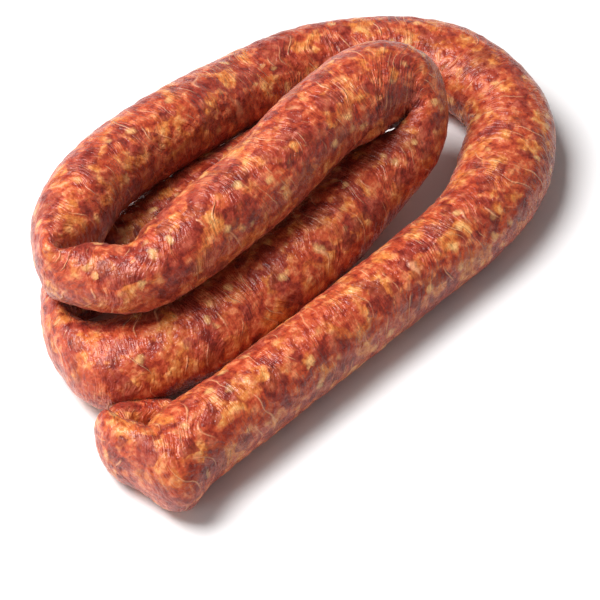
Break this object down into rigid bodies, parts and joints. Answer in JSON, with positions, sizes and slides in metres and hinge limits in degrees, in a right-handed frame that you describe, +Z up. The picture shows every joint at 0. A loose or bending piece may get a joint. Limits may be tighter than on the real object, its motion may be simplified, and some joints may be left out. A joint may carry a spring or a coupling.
{
  "type": "coiled smoked sausage",
  "caption": "Long smoked sausage in a natural casing, laid in stacked loops with pinched turns and a folded end, resting on its flattened underside.",
  "frame": {"origin": "on the table, under the middle of the coil's bounding box", "axes": "+X along the loops, from the pinched turns to the wide bend; +Y from the free-lying front length to the back length; +Z up"},
  "size_m": [0.2734, 0.1554, 0.0708],
  "materials": {
    "smoked_casing": "thin translucent smoked natural casing over coarse orange-red mince with pale fat, finely wrinkled, dry satin sheen"
  },
  "bodies": {
    "root": {"sausage": "smoked_casing"}
  },
  "joints": []
}
